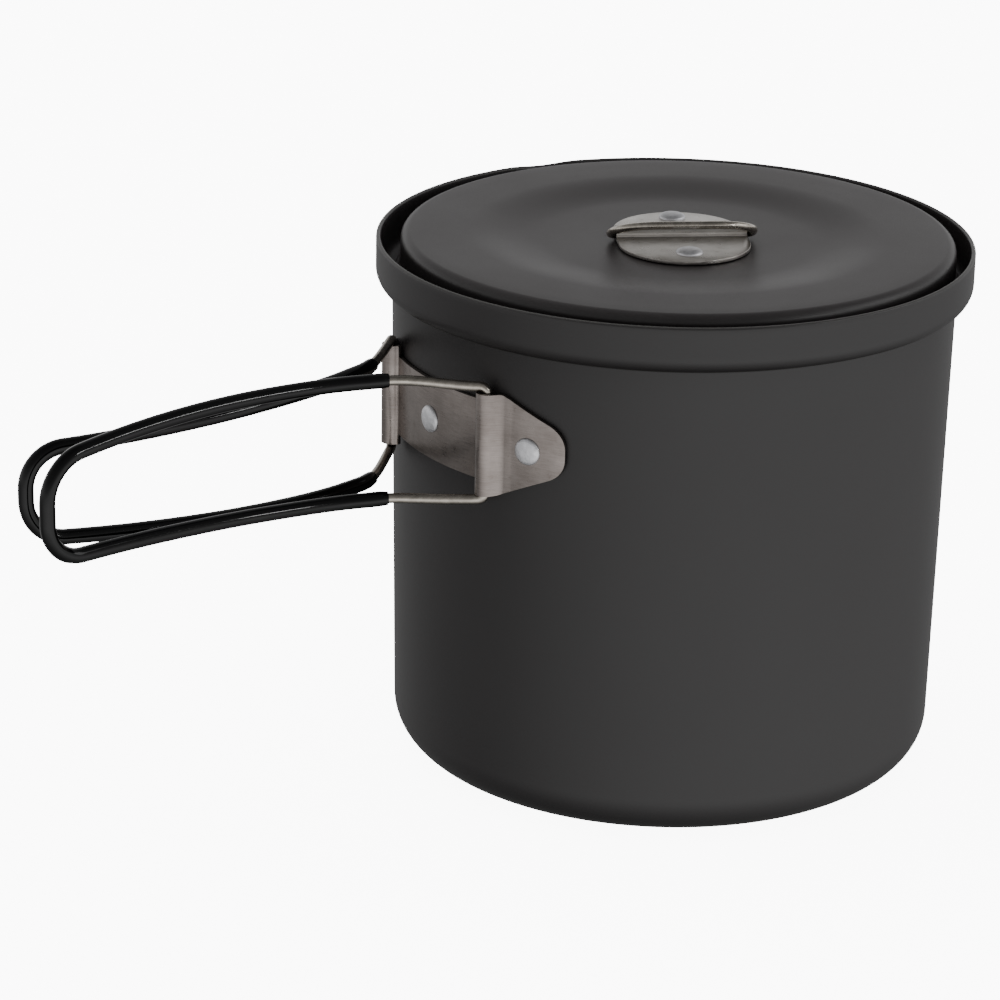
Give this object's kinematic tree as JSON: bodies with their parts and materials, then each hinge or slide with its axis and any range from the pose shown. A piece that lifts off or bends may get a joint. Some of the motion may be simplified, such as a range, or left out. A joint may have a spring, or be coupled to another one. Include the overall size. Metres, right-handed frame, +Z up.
{
  "type": "camping cook pot with lid and folding handles",
  "caption": "Deep round hard-anodised cook pot with a drop-in lid, a folding lid ring and two sleeved wire handles that fold round the wall from a riveted bracket.",
  "frame": {"origin": "centre of the pot's base, on the surface it stands on", "axes": "+Z up along the pot's axis; the handles reach out along -X; the pouring lip is on the +Y side"},
  "size_m": [0.256, 0.1504, 0.1417],
  "materials": {
    "hard_anodised_aluminium": "matte dark grey hard anodised",
    "stainless_steel": "satin stainless steel",
    "rivet_aluminium": "satin bare aluminium",
    "handle_sleeve": "glossy black vinyl"
  },
  "bodies": {
    "pot": {"pot_body": "hard_anodised_aluminium", "handle_bracket": "stainless_steel", "bracket_rivet_right": "rivet_aluminium", "bracket_rivet_centre": "rivet_aluminium", "bracket_rivet_left": "rivet_aluminium"},
    "handle_right": {"handle_wire_right": "stainless_steel", "handle_sleeve_right": "handle_sleeve"},
    "handle_left": {"handle_wire_left": "stainless_steel", "handle_sleeve_left": "handle_sleeve"},
    "lid": {"lid_pan": "hard_anodised_aluminium", "lid_knob_plate": "stainless_steel", "lid_rivet_front": "rivet_aluminium", "lid_rivet_back": "rivet_aluminium"},
    "ring": {"lid_ring": "stainless_steel"}
  },
  "joints": [
    {"name": "handle_right_fold", "type": "hinge", "parent": "pot", "child": "handle_right", "pos_m": [-0.06941, -0.02162, 0.0986], "axis": [0, 0, 1], "range_deg": [0, 145]},
    {"name": "handle_left_fold", "type": "hinge", "parent": "pot", "child": "handle_left", "pos_m": [-0.06941, 0.02162, 0.0986], "axis": [0, 0, -1], "range_deg": [0, 145]},
    {"name": "lid_lift", "type": "slide", "parent": "pot", "child": "lid", "axis": [0, 0, 1], "range_m": [0, 0.07]},
    {"name": "lid_ring_fold", "type": "hinge", "parent": "lid", "child": "ring", "pos_m": [0.00113, -0.00068, 0.135], "axis": [-0.887, 0.4617, 0], "range_deg": [-15, 144]}
  ]
}
